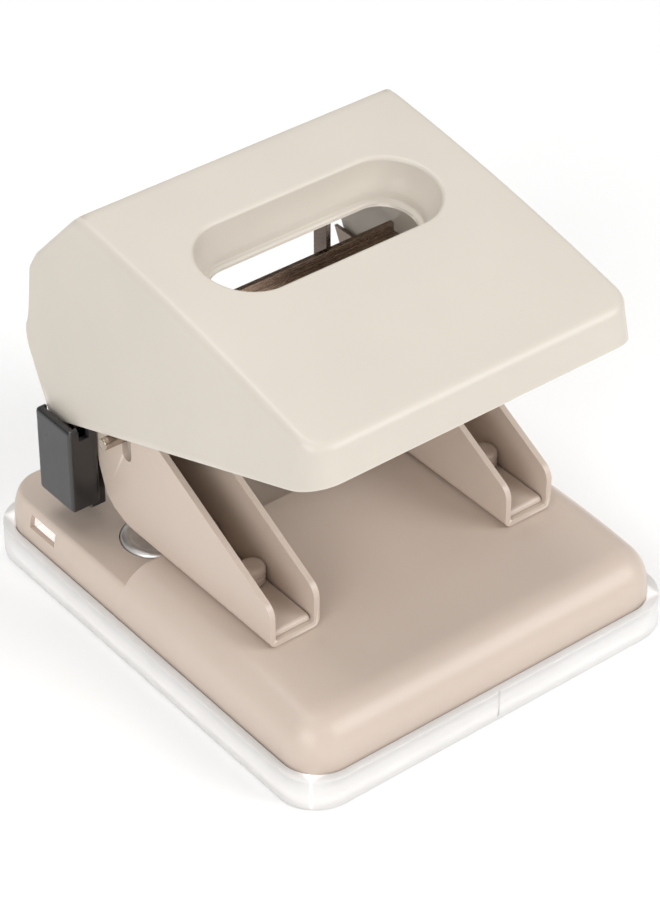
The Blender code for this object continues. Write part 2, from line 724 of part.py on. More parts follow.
def make_lever():
    rolled = [(LEVER_ROLL * (1 - math.sin(math.radians(22.5 * i))), 0) for i in range(4)]
    skirt = [(-LEVER_FLARE * share, share) for share in (0.5, 1.0)]
    front_row = LEVER_FRONT_Y + LEVER_FRONT_R
    rear_row = LEVER_REAR_Y - LEVER_REAR_R
    crease_y = TOP_REAR[0]
    rows = [front_row + (crease_y - 3 * MM - front_row) * i / 7 for i in range(8)]
    rows += [crease_y - 1 * MM, crease_y + 1 * MM, EDGE_REAR[0], CHAMFER_END[0] - 1 * MM, rear_row]
    mesh = pressed_sheet(
        LEVER_HALF_X,
        LEVER_FRONT_Y,
        LEVER_REAR_Y,
        LEVER_FRONT_R,
        LEVER_REAR_R,
        rolled + [(0, 0)] + skirt,
        lever_height,
        8,
        rows,
    )
    lever = object_of(mesh, "lever", "paint", (0, HINGE_Y, HINGE_Z))
    solidify(lever, SHEET)
    tilt = Matrix.Rotation(math.atan(TOP_SLOPE + 2 * TOP_CURVE * (TOP_REAR[0] - WINDOW_Y)), 4, "X")
    seat = Matrix.Translation((0, WINDOW_Y, top_of_lever(WINDOW_Y))) @ tilt
    hole = outline_mesh(stadium(WINDOW_HALF_RUN, WINDOW_R - 0.8 * MM), -30 * MM, 30 * MM, "Z")
    hole.transform(seat)
    combine(lever, cutter_of(hole, "window_hole"))
    collar = collar_mesh()
    collar.transform(seat)
    combine(lever, cutter_of(collar, "window_collar"), "UNION")


def collar_mesh():
    """The drawn collar round the finger window: an oval tube that narrows down to a turned-in lip."""
    outside = [
        (WINDOW_R + 0.8 * MM, 0.5 * MM),
        (WINDOW_R + 0.6 * MM, -3 * MM),
        (WINDOW_R - 2.4 * MM, -WINDOW_DEPTH),
    ]
    inside = [
        (WINDOW_R - 4.6 * MM, -WINDOW_DEPTH),
        (WINDOW_R - 4.6 * MM, 1.2 * MM - WINDOW_DEPTH),
        (WINDOW_R - 3.6 * MM, 1.8 * MM - WINDOW_DEPTH),
        (WINDOW_R - 1.0 * MM, -3 * MM),
        (WINDOW_R - 0.5 * MM, 0.5 * MM),
    ]
    bm = bmesh.new()
    rings = []
    for radius, z in outside + inside:
        rings.append([bm.verts.new((x, y, z)) for x, y in stadium(WINDOW_HALF_RUN, radius)])
    count = len(rings[0])
    for ring, following in zip(rings, rings[1:] + rings[:1]):
        for i in range(count):
            j = (i + 1) % count
            bm.faces.new((ring[i], ring[j], following[j], following[i]))
    return mesh_from(bm, "collar")


def make_cross_bar():
    """The folded strip across the inside of the lever that carries the press frame."""
    end = 51.2 * MM
    rear_y, front_y, low_z, high_z = 36 * MM, 29 * MM, 75.7 * MM, 79.8 * MM
    bend_r = 2 * MM
    section = [
        (front_y, low_z),
        *arc((rear_y - bend_r, low_z + bend_r), bend_r, -90, 0, 4),
        (rear_y, high_z),
        (rear_y - SHEET, high_z),
        (rear_y - SHEET, low_z + SHEET),
        (front_y, low_z + SHEET),
    ]
    mesh = outline_mesh(section, -end, end)
    object_of(mesh, "lever_cross_bar", "dark_steel", (0, HINGE_Y, HINGE_Z))


def make_press_frame():
    """A sheet frame under the cross bar. Its two arms press the inner ends of the cross pins."""
    outer_x, front_y, rear_y = 31 * MM, 17 * MM, 43 * MM
    web_z = 67.5 * MM
    arm_line = [
        (front_y, lower_edge(front_y)),
        (front_y + 15 * MM, lower_edge(front_y + 15 * MM)),
        (rear_y, 64 * MM),
        (rear_y, 88 * MM),
        (37.2 * MM, 88 * MM),
        (37.2 * MM, 74 * MM),
        (28 * MM, 72 * MM),
        (front_y, web_z + 1 * MM),
    ]
    frame = object_of(
        outline_mesh(arm_line[::-1], -outer_x, outer_x), "press_frame", "dark_steel", (0, HINGE_Y, HINGE_Z)
    )
    inner_x = outer_x - SHEET
    above = box_mesh((-inner_x, 0, web_z), (inner_x, 60 * MM, 99 * MM))
    below = box_mesh((-inner_x, 0, 40 * MM), (inner_x, 60 * MM, web_z - SHEET))
    combine(frame, cutter_of(above, "frame_above_web"))
    combine(frame, cutter_of(below, "frame_below_web"))


clear_scene()
PARTS = new_collection("hole_punch")
CUTTERS = new_collection("cutters")
MATERIALS = make_materials()
make_chip_tray()
make_base_plate()
make_dies()
make_rivets()
make_hinge_rod()
make_lever()
make_cross_bar()
make_press_frame()
for side_name, side_sign in SIDES.items():
    make_channel(side_name, side_sign)
    make_channel_plate(side_name, side_sign)
    make_punch(side_name, side_sign)
    make_cross_pin(side_name, side_sign)
    make_spring_seat(side_name, side_sign)
    make_return_spring(side_name, side_sign)
    make_hinge_cover(side_name, side_sign)
    make_rod_clip(side_name, side_sign)
    make_hinge_arm(side_name, side_sign)
CUTTERS.hide_render = True
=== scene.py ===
"""Looks for the two-hole punch: finer meshes and painted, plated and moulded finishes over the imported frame."""

import math

import bmesh
import bpy
from mathutils import Matrix, Vector
from mathutils.geometry import delaunay_2d_cdt


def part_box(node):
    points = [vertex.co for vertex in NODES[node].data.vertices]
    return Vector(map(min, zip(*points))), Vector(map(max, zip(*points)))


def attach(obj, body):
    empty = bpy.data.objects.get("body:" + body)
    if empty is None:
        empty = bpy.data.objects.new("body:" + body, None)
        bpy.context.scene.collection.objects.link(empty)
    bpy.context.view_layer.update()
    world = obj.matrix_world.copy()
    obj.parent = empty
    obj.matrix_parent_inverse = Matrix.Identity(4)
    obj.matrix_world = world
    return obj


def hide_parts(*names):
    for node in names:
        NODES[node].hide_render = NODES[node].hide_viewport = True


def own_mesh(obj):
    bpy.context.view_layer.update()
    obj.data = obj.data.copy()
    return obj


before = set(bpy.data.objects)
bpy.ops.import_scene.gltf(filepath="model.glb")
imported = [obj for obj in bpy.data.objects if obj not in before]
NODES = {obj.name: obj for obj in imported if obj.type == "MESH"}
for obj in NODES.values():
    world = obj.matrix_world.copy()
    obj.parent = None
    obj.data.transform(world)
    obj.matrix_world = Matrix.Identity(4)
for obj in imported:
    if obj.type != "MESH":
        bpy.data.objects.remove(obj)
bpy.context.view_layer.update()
MM = 0.001
SIDES = {"left": -1, "right": 1}

# Sizes that the finer pieces share with the CAD model
TRAY_HALF_X, TRAY_HALF_Y, TRAY_TOP_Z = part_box("chip_tray")[1]
TRAY_R, TRAY_FLOOR, TRAY_LEDGE_Z = 12 * MM, 1.6 * MM, 6 * MM
TRAY_INSIDE_X, TRAY_INSIDE_Y, TRAY_INSIDE_R = 58.6 * MM, 68.1 * MM, 9 * MM
SEAM_HALF, SEAM_DEPTH, SEAM_LOW_Z, SEAM_TOP_Z = 0.35 * MM, 0.5 * MM, 1 * MM, 20 * MM
SHEET = 1.5 * MM
BASE_HALF_X, BASE_HALF_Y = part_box("base_plate")[1][:2]
BASE_R = 11 * MM
BASE_FOOT_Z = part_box("base_plate")[0].z
SHOULDER_FOOT_Z = 11.5 * MM
PLATEAU_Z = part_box("base_plate")[1].z
DECK_Z = PLATEAU_Z - 5 * MM
FRONT_DROP, FRONT_SLOPE_Y, FRONT_POWER = 3 * MM, -38 * MM, 1.5
STEP_Y, STEP_RUN = 11.5 * MM, 0.8 * MM
SHOULDER_POWER, DECK_BLEND = 2.4, 0.9 * MM
GAUGE_SLOT = ((-70 * MM, 43.5 * MM, 14.4 * MM), (-50 * MM, 55 * MM, 18.6 * MM))
DIE_OPENING_R = 9.9 * MM
DIE_HOLE_R, DIE_RIM_R, DIE_FLAT_R = 3.15 * MM, 9.6 * MM, 5.6 * MM
DIE_HUMP_R, DIE_HUMP, DIE_FLANGE, DIE_FLANGE_T = 1.7 * MM, 1.2 * MM, 1.8 * MM, 1.6 * MM
PUNCH_X, PUNCH_Y = 40 * MM, 24.4 * MM
GAP = 0.3 * MM
CHANNEL_Z = PLATEAU_Z + GAP
CHANNEL_HALF, CHANNEL_SHEET = 8.1 * MM, 1.8 * MM
FLOOR_BEND_R, INSIDE_BEND_R = 2.4 * MM, 0.9 * MM
CHANNEL_FRONT_Y = -37.5 * MM
NOSE_Z, NOSE_R = 38 * MM, 5 * MM
WALL_TOP_Y, WALL_TOP_Z, WALL_TOP_R = 13.5 * MM, 64 * MM, 3 * MM
EAR_AND_HEEL = [  # the rear of a channel wall as (y, z), from its top to its floor
    (34 * MM, WALL_TOP_Z),
    (53 * MM, 54 * MM),
    (53 * MM, 41 * MM),
    (43 * MM, 39.5 * MM),
    (38 * MM, 29.5 * MM),
    (36 * MM, CHANNEL_Z),
]
PUNCH_BORE_R, ROD_BORE_R = 3.2 * MM, 3.3 * MM
PLATE_REAR_Y, PLATE_FRONT_INSET, PLATE_SIDE_GAP = 14 * MM, 1.2 * MM, 0.5 * MM
PLATE_T, PLATE_NOSE_R = 1.6 * MM, 1.3 * MM
HINGE = (46.5 * MM, 46.5 * MM)
PIN_Z, PIN_R, TRAVEL = 58.9 * MM, 1.75 * MM, 6.8 * MM
PIN_OUTER_X, PIN_INNER_X, PIN_CHAMFER = 55.7 * MM, 28.5 * MM, 0.35 * MM
WASHER_BORE_R, WASHER_R, WASHER_T, WASHER_EDGE = 3.2 * MM, 5.9 * MM, 1.1 * MM, 0.3 * MM
SPRING_WIRE_R, SPRING_R, SPRING_TURNS = 0.62 * MM, 5.05 * MM, 7
RIVET_SHIFT_X, RIVET_R, RIVET_H = 2.5 * MM, 3.65 * MM, 5.4 * MM
RIVET_SHANK_R, RIVET_FOOT_R, RIVET_FOOT_H = 2.3 * MM, 3.6 * MM, 1.4 * MM
RIVET_YS = {"front": -16 * MM, "rear": 4.5 * MM}
REAR_TRIM = [  # cut off the rear of each channel's outer wall, as (y, z)
    (80 * MM, 20 * MM),
    (80 * MM, 80 * MM),
    (40.1 * MM, 80 * MM),
    (40.1 * MM, 50.5 * MM),
    (37.6 * MM, 40.3 * MM),
    (34.9 * MM, 32.6 * MM),
    (31 * MM, 29.6 * MM),
    (26 * MM, 27.6 * MM),
    (20 * MM, 25.5 * MM),
    (20 * MM, 20 * MM),
]
LEVER_HALF_X, LEVER_FLARE = 52.3 * MM, 1.5 * MM
LEVER_FRONT_Y, LEVER_REAR_Y = -61.2 * MM, 62.7 * MM
LEVER_FRONT_R, LEVER_REAR_R, LEVER_ROLL = 7.5 * MM, 3 * MM, 2.5 * MM
TOP_REAR = (37.6 * MM, 121.8 * MM)
TOP_SLOPE, TOP_CURVE = 0.102, 0.74
FOLD_BLEND, BACK_BLEND = 1.6 * MM, 3 * MM
CHAMFER_END = (59.5 * MM, 98.5 * MM)
REAR_END_Z = 78.3 * MM
EDGE_REAR, EDGE_SLOPE = (51.6 * MM, 51 * MM), 0.378
WINDOW_Y, WINDOW_HALF_RUN, WINDOW_R = 2.7 * MM, 23 * MM, 13.7 * MM
WINDOW_RIM_R = 1.3 * MM
COLLAR_SLIDE = 3 * MM  # depth over which the collar goes from straight down to square to the top
COLLAR = [  # (outward, depth) down the window's collar
    (-0.9 * MM, -4.6 * MM),
    (-1.8 * MM, -6.6 * MM),
    (-2.7 * MM, -8.6 * MM),
    (-2.9 * MM, -9.3 * MM),
    (-3.0 * MM, -10.2 * MM),
    (-3.05 * MM, -11.2 * MM),
    (-3.3 * MM, -11.55 * MM),
    (-3.9 * MM, -11.75 * MM),
    (-4.3 * MM, -12.2 * MM),
    (-4.4 * MM, -13.0 * MM),
]

# Mesh fineness
SHARP_ANGLE = 32  # degrees, above which a smooth-shaded edge stays sharp
BEVEL_ANGLE = 38  # degrees, above which an edge is rounded
CORNER_SEGMENTS = 12
WELD_DISTANCE = 0.01 * MM

# Finishes: features per metre of each pattern
PAINT_CLOUDS, PAINT_GLOSS, ORANGE_PEEL = 28, 60, 600
STEEL_PATCHES = 220
BLACK_GLOSS, BLACK_GRAIN, BLACK_RIPPLE = 150, 2500, 300
TRAY_CLOUDS, TRAY_GLOSS, TRAY_GRAIN = 35, 90, 1500
FLOOR_GLOSS = 3
# Painted glow of the tray: its emission strength, and the distances from the outer faces where it stops and where
# it is full.
TRAY_GLOW, TRAY_GLOW_EDGE, TRAY_GLOW_FULL = 0.45, 3 * MM, 5 * MM

# Stage
CAMERA_PLACE = (-0.4316, -0.5461, 0.5776)
CAMERA_AZIMUTH, CAMERA_ELEVATION, CAMERA_LENS = -38.4, 37.4, 130.46
LIGHT_TARGET = (0, 0, 0.06)
LIGHTS = {  # place, size and power of each softbox
    "key_softbox": ((0.75, -1.0, 0.8), (0.8, 0.8), 11),
    "top_softbox": ((0.0, 0.3, 1.3), (0.9, 0.9), 7.5),
    "left_softbox": ((-1.05, -0.55, 0.6), (0.7, 0.9), 8.5),
}
WORLD_STRENGTH = 0.38
FLOOR_SIZE, FLOOR_DROP = 4, 0.2 * MM


# Materials


def new_material(name, colour, roughness, metallic=0.0):
    """A node material and its Principled shader."""
    material = bpy.data.materials.new(name)
    material.use_nodes = True
    shader = material.node_tree.nodes["Principled BSDF"]
    shader.inputs["Base Color"].default_value = (*colour, 1)
    shader.inputs["Roughness"].default_value = roughness
    shader.inputs["Metallic"].default_value = metallic
    return material, shader


def add(material, kind, **values):
    node = material.node_tree.nodes.new(kind)
    for key, value in values.items():
        if key in node.inputs:
            node.inputs[key].default_value = value
        else:
            setattr(node, key, value)
    return node


def wire(material, source, target):
    material.node_tree.links.new(target, source)


def noise(material, scale, detail, stretch=(1, 1, 1)):
    """Noise in the object's own metres: scale is features per metre."""
    coordinates = add(material, "ShaderNodeTexCoord")
    mapping = add(material, "ShaderNodeMapping")
    mapping.inputs["Scale"].default_value = stretch
    wire(material, coordinates.outputs["Object"], mapping.inputs["Vector"])
    texture = add(material, "ShaderNodeTexNoise", Scale=scale, Detail=detail)
    wire(material, mapping.outputs["Vector"], texture.inputs["Vector"])
    return texture.outputs["Fac"]


def remap(material, value, low, high, to_low, to_high):
    node = add(material, "ShaderNodeMapRange")
    for key, number in zip(("From Min", "From Max", "To Min", "To Max"), (low, high, to_low, to_high)):
        node.inputs[key].default_value = number
    wire(material, value, node.inputs["Value"])
    return node.outputs["Result"]


def mix(material, factor, first, second):
    """first and second are colours or outputs."""
    node = add(material, "ShaderNodeMix", data_type="RGBA")
    wire(material, factor, node.inputs["Factor"])
    for index, value in ((6, first), (7, second)):
        if isinstance(value, tuple):
            node.inputs[index].default_value = (*value, 1)
        else:
            wire(material, value, node.inputs[index])
    return node.outputs[2]


def bump(material, shader, heights):
    """Chains (output, strength, distance) bumps into the shader's normal."""
    last = None
    for height, strength, distance in heights:
        node = add(material, "ShaderNodeBump")
        node.inputs["Strength"].default_value = strength
        node.inputs["Distance"].default_value = distance
        wire(material, height, node.inputs["Height"])
        if last:
            wire(material, last, node.inputs["Normal"])
        last = node.outputs["Normal"]
    wire(material, last, shader.inputs["Normal"])


def edges(material, low=0.57, high=0.72):
    """1 on convex edges, from the geometry's own pointiness."""
    geometry = add(material, "ShaderNodeNewGeometry")
    return remap(material, geometry.outputs["Pointiness"], low, high, 0, 1)


def stoved_paint(name, colour, edge_colour, roughness):
    """Sprayed and stoved paint: faint orange peel, cloudy gloss and a painted highlight on the convex edges."""
    material, shader = new_material(name, colour, roughness)
    cloud = remap(material, noise(material, PAINT_CLOUDS, 2), 0.2, 0.8, 0, 1)
    darker = tuple(c * 0.965 for c in colour)
    lighter = tuple(min(c * 1.02, 1) for c in colour)
    # Painted highlight: convex edges take the lighter edge colour, standing in for the light they catch.
    lighter_edges = mix(material, edges(material), mix(material, cloud, darker, lighter), edge_colour)
    wire(material, lighter_edges, shader.inputs["Base Color"])
    gloss = remap(material, noise(material, PAINT_GLOSS, 2), 0.2, 0.8, roughness - 0.03, roughness + 0.04)
    wire(material, gloss, shader.inputs["Roughness"])
    shader.inputs["Coat Weight"].default_value = 0.1
    shader.inputs["Coat Roughness"].default_value = 0.3
    shader.inputs["Specular IOR Level"].default_value = 0.38
    bump(material, shader, [(noise(material, ORANGE_PEEL, 2), 0.1, 0.2 * MM)])
    return material


def steel(name, colour, roughness, stretch, scale=900):
    """Ground steel: fine lines one way, with slightly darker cloudy patches."""
    material, shader = new_material(name, colour, roughness, 1.0)
    lines = noise(material, scale, 3, stretch)
    patches = remap(material, noise(material, STEEL_PATCHES, 4), 0.35, 0.7, 0, 0.6)
    tone = mix(material, patches, colour, tuple(c * 0.72 for c in colour))
    bright = tuple(min(c * 1.7 + 0.1, 0.95) for c in colour)
    wire(material, mix(material, edges(material, 0.54, 0.66), tone, bright), shader.inputs["Base Color"])
    gloss = remap(material, lines, 0.3, 0.7, roughness - 0.08, roughness + 0.1)
    wire(material, gloss, shader.inputs["Roughness"])
    bump(material, shader, [(lines, 0.15, 0.08 * MM)])
    return material


def black_plastic():
    """Moulded black plastic with a fine satin spark-eroded grain and greyed edges."""
    colour = (0.008, 0.0076, 0.0085)
    material, shader = new_material("satin_black_plastic", colour, 0.32)
    shader.inputs["Specular IOR Level"].default_value = 0.85
    # Convex edges are a lighter grey.
    lighter_edges = mix(material, edges(material, 0.56, 0.7), colour, (0.10, 0.10, 0.105))
    wire(material, lighter_edges, shader.inputs["Base Color"])
    gloss = remap(material, noise(material, BLACK_GLOSS, 4), 0.3, 0.7, 0.27, 0.36)
    wire(material, gloss, shader.inputs["Roughness"])
    grain = (noise(material, BLACK_GRAIN, 2), 0.18, 0.1 * MM)
    ripple = (noise(material, BLACK_RIPPLE, 2), 0.05, 0.2 * MM)
    bump(material, shader, [grain, ripple])
    return material


def frosted_plastic():
    """Translucent milky plastic with a frosted skin, with a painted glow: its inside emits light as if light came
    through the walls.
    """
    colour = (0.80, 0.79, 0.78)
    material, shader = new_material("frosted_tray_plastic", colour, 0.4)
    cloud = remap(material, noise(material, TRAY_CLOUDS, 3), 0.3, 0.7, 0, 1)
    wire(material, mix(material, cloud, (0.765, 0.75, 0.735), colour), shader.inputs["Base Color"])
    shader.inputs["Transmission Weight"].default_value = 0.25
    shader.inputs["IOR"].default_value = 1.49
    shader.inputs["Specular IOR Level"].default_value = 0.5
    gloss = remap(material, noise(material, TRAY_GLOSS, 4), 0.3, 0.7, 0.34, 0.46)
    wire(material, gloss, shader.inputs["Roughness"])
    bump(material, shader, [(noise(material, TRAY_GRAIN, 2), 0.12, 0.1 * MM)])
    # Painted glow: emission over the tray's inside, full further than 5 mm from its outer faces and gone within 3
    # mm of them.
    shader.inputs["Emission Color"].default_value = (1, 0.99, 0.98, 1)
    coordinates = add(material, "ShaderNodeTexCoord")
    place = add(material, "ShaderNodeSeparateXYZ")
    wire(material, coordinates.outputs["Object"], place.inputs["Vector"])
    least = add(material, "ShaderNodeMath", operation="MINIMUM")
    for index, (axis, half) in enumerate((("X", TRAY_HALF_X), ("Y", TRAY_HALF_Y))):
        distance = add(material, "ShaderNodeMath", operation="ABSOLUTE")
        wire(material, place.outputs[axis], distance.inputs[0])
        full, none = half - TRAY_GLOW_FULL, half - TRAY_GLOW_EDGE
        glow = remap(material, distance.outputs[0], full, none, TRAY_GLOW, 0)
        wire(material, glow, least.inputs[index])
    wire(material, least.outputs[0], shader.inputs["Emission Strength"])
    return material


def make_materials():
    return {
        # Each paint's second colour is a painted highlight for its convex edges.
        "paint": stoved_paint("cream_stoved_paint", (0.605, 0.555, 0.485), (0.80, 0.74, 0.67), 0.38),
        # Painted shade: the base paint is the lever's cream paint darkened, standing in for the shade under the
        # lever on the base, channels, stiffeners and rivets.
        "base_paint": stoved_paint("shaded_cream_stoved_paint", (0.60, 0.50, 0.425), (0.82, 0.74, 0.66), 0.36),
        "steel": steel("ground_steel", (0.44, 0.37, 0.30), 0.12, (1, 8, 8)),
        "plate_steel": steel("plated_steel", (0.93, 0.92, 0.90), 0.42, (6, 6, 1)),
        # Painted shade: these dark brown colours on the cross bar, hinge arms and press frame stand in for the
        # shade they sit in under the lever.
        "dark_steel": steel("shade_darkened_strip_steel", (0.24, 0.19, 0.155), 0.26, (0.5, 8, 8), 500),
        "brown_steel": steel("shade_darkened_frame_steel", (0.15, 0.115, 0.095), 0.28, (3, 3, 3), 500),
        "spring_steel": steel("yellow_zinc_wire", (0.62, 0.52, 0.34), 0.27, (4, 4, 4)),
        "black_plastic": black_plastic(),
        "frosted_plastic": frosted_plastic(),
    }


# Mesh tools


def shade(mesh, angle=SHARP_ANGLE):
    """Smooth shading, with the edges above the angle kept sharp."""
    mesh.shade_smooth()
    mesh.set_sharp_from_angle(angle=math.radians(angle))
    return mesh


def finish_mesh(bm, name, angle=SHARP_ANGLE):
    bm.normal_update()
    bmesh.ops.recalc_face_normals(bm, faces=bm.faces)
    mesh = bpy.data.meshes.new(name)
    bm.to_mesh(mesh)
    bm.free()
    return shade(mesh, angle)


def loose(data, name="work"):
    """A new object in the scene."""
    obj = bpy.data.objects.new(name, data)
    bpy.context.scene.collection.objects.link(obj)
    return obj


def piece(mesh, name, body, slot, replaced, material=None, bevel=0.0, segments=3, angle=BEVEL_ANGLE):
    """A piece in the row frame that rides on a body and stands for CAD nodes."""
    obj = loose(mesh, name)
    obj.data.materials.append(MATERIALS[material or slot])
    if bevel:
        round_edges(obj, bevel, segments, angle)
    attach(obj, body)
    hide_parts(*replaced)
    return obj


def round_edges(obj, width, segments, angle=BEVEL_ANGLE):
    modifier = obj.modifiers.new("Rounded edges", "BEVEL")
    modifier.width = width
    modifier.segments = segments
    modifier.limit_method = "ANGLE"
    modifier.angle_limit = math.radians(angle)
    weighted = obj.modifiers.new("Flat faces lead", "WEIGHTED_NORMAL")
    weighted.keep_sharp = True
    weighted.weight = 100


def applied(obj):
    """A new mesh of the object with its modifiers applied."""
    bpy.context.view_layer.update()
    graph = bpy.context.evaluated_depsgraph_get()
    return shade(bpy.data.meshes.new_from_object(obj.evaluated_get(graph)))


def cut(obj, mesh):
    """Takes a closed mesh away from the object."""
    cutter = loose(mesh, "cutter")
    modifier = obj.modifiers.new("Cut", "BOOLEAN")
    modifier.operation = "DIFFERENCE"
    modifier.solver = "EXACT"
    modifier.object = cutter
    made = applied(obj)
    obj.modifiers.clear()
    obj.data = made
    bpy.data.objects.remove(cutter)


def mesh_of(obj):
    """The finished mesh of a working object, which is then removed."""
    made = applied(obj)
    bpy.data.objects.remove(obj)
    return made


def box_mesh(low, high, corner_r=0.0):
    """A box, with its upright edges rounded if a radius is given."""
    bm = bmesh.new()
    bmesh.ops.create_cube(bm, size=1)
    size = Vector(high) - Vector(low)
    bmesh.ops.scale(bm, vec=size, verts=bm.verts)
    bmesh.ops.translate(bm, vec=(Vector(high) + Vector(low)) / 2, verts=bm.verts)
    if corner_r:
        upright = [e for e in bm.edges if abs(e.verts[0].co.z - e.verts[1].co.z) > size.z / 2]
        bmesh.ops.bevel(bm, geom=upright, offset=corner_r, segments=CORNER_SEGMENTS, profile=0.5, affect="EDGES")
    return finish_mesh(bm, "box")


def bar_mesh(radius, start, end, steps=48, chamfer=0.0):
    """A round bar from one point to another."""
    start, end = Vector(start), Vector(end)
    length = (end - start).length
    bm = bmesh.new()
    bmesh.ops.create_cone(bm, cap_ends=True, segments=steps, radius1=radius, radius2=radius, depth=length)
    if chamfer:
        rims = [e for e in bm.edges if abs(e.verts[0].co.z - e.verts[1].co.z) < length / 2]
        bmesh.ops.bevel(bm, geom=rims, offset=chamfer, segments=4, profile=0.5, affect="EDGES")
    turn = (end - start).to_track_quat("Z", "Y").to_matrix().to_4x4()
    bm.transform(Matrix.Translation((start + end) / 2) @ turn)
    return finish_mesh(bm, "bar")


def lathe(profile, centre, steps=64):
    """A closed turned shape from (radius, z) pairs down its outer side. Radius 0 is on the axis."""
    bm = bmesh.new()
    rings = []
    for radius, z in profile:
        if radius == 0:
            rings.append([bm.verts.new((centre[0], centre[1], z))])
            continue
        ring = []
        for a in [math.tau * i / steps for i in range(steps)]:
            x, y = centre[0] + radius * math.cos(a), centre[1] + radius * math.sin(a)
            ring.append(bm.verts.new((x, y, z)))
        rings.append(ring)
    pairs = list(zip(rings, rings[1:]))
    if profile[0][0] > 0:
        pairs.append((rings[-1], rings[0]))
    for upper, lower in pairs:
        for i in range(steps):
            j = (i + 1) % steps
            if len(upper) == 1:
                bm.faces.new((upper[0], lower[i], lower[j]))
            elif len(lower) == 1:
                bm.faces.new((upper[i], lower[0], upper[j]))
            else:
                bm.faces.new((upper[i], lower[i], lower[j], upper[j]))
    return finish_mesh(bm, "turned")


def arc(centre, radius, start, end, steps):
    """Points round an arc between two angles in degrees."""
    angles = [math.radians(start + (end - start) * i / steps) for i in range(steps + 1)]
    return [(centre[0] + radius * math.cos(a), centre[1] + radius * math.sin(a)) for a in angles]


def stadium(half_run, radius, steps=28, run_steps=16):
    """A slot outline along the first axis, with points along its straight sides too."""
    right = arc((half_run, 0), radius, -90, 90, steps)
    left = arc((-half_run, 0), radius, 90, 270, steps)
    top = [(half_run - 2 * half_run * i / run_steps, radius) for i in range(1, run_steps)]
    low = [(-half_run + 2 * half_run * i / run_steps, -radius) for i in range(1, run_steps)]
    return right + top + left + low


def slab_mesh(points, low_x, high_x):
    """A side outline of (y, z) points, extruded from one X to another."""
    bm = bmesh.new()
    first = [bm.verts.new((low_x, y, z)) for y, z in points]
    second = [bm.verts.new((high_x, y, z)) for y, z in points]
    bm.faces.new(first)
    bm.faces.new(second[::-1])
    for i in range(len(points)):
        j = (i + 1) % len(points)
        bm.faces.new((first[i], first[j], second[j], second[i]))
    return finish_mesh(bm, "slab")


def soften(value, limit, radius):
    """A smooth version of min(value, limit)."""
    gap = value - limit
    if gap < -radius:
        return value
    if gap > radius:
        return limit
    return value - (gap + radius) ** 2 / (4 * radius)


# Base plate, tray and dies


def top_of_base(y):
    """The base's height along its middle: a falling front, the plateau and the lower rear deck."""
    if y < FRONT_SLOPE_Y:
        share = (FRONT_SLOPE_Y - y) / (FRONT_SLOPE_Y + BASE_HALF_Y)
        return PLATEAU_Z - FRONT_DROP * share**FRONT_POWER
    fall = (y - STEP_Y) / STEP_RUN
    share = min(max(fall, 0), 1)
    return PLATEAU_Z - (PLATEAU_Z - DECK_Z) * (3 * share**2 - 2 * share**3)


def base_height(y, inset):
    """The base's height that far inside its outline."""
    depth = min(max(inset, 0) / BASE_R, 1)
    rise = (1 - (1 - depth) ** SHOULDER_POWER) ** (1 / SHOULDER_POWER)
    if y <= STEP_Y:
        return SHOULDER_FOOT_Z + (top_of_base(y) - SHOULDER_FOOT_Z) * rise
    shoulder = SHOULDER_FOOT_Z + (PLATEAU_Z - SHOULDER_FOOT_Z) * rise
    return soften(shoulder, top_of_base(y), DECK_BLEND)


def rounded_rectangle(half_x, front_y, rear_y, front_r, rear_r, fan, along_x, along_y):
    """Stops round a rectangle: (x, y) of the inner line, the outward direction and the corner radius there."""
    stops = []

    def corner(x, y, radius, start):
        for i in range(fan + 1):
            a = math.radians(start + 90 * i / fan)
            stops.append((x, y, math.cos(a), math.sin(a), radius))

    inner_xf, inner_xr = half_x - front_r, half_x - rear_r
    low, high = front_y + front_r, rear_y - rear_r
    corner(inner_xf, low, front_r, -90)
    for y in along_y:
        share = (y - low) / (high - low)
        radius = front_r + (rear_r - front_r) * share
        stops.append((half_x - radius, y, 1, 0, radius))
    corner(inner_xr, high, rear_r, 0)
    for i in range(1, along_x):
        stops.append((inner_xr * (1 - 2 * i / along_x), high, 0, 1, rear_r))
    corner(-inner_xr, high, rear_r, 90)
    for y in reversed(along_y):
        share = (y - low) / (high - low)
        radius = front_r + (rear_r - front_r) * share
        stops.append((radius - half_x, y, -1, 0, radius))
    corner(-inner_xf, low, front_r, 180)
    for i in range(1, along_x):
        stops.append((inner_xf * (2 * i / along_x - 1), low, 0, -1, front_r))
    return stops


def ring_of(stops, inset):
    """(x, y) round the outline, that far inside it."""
    return [(x + dx * (radius - inset), y + dy * (radius - inset)) for x, y, dx, dy, radius in stops]


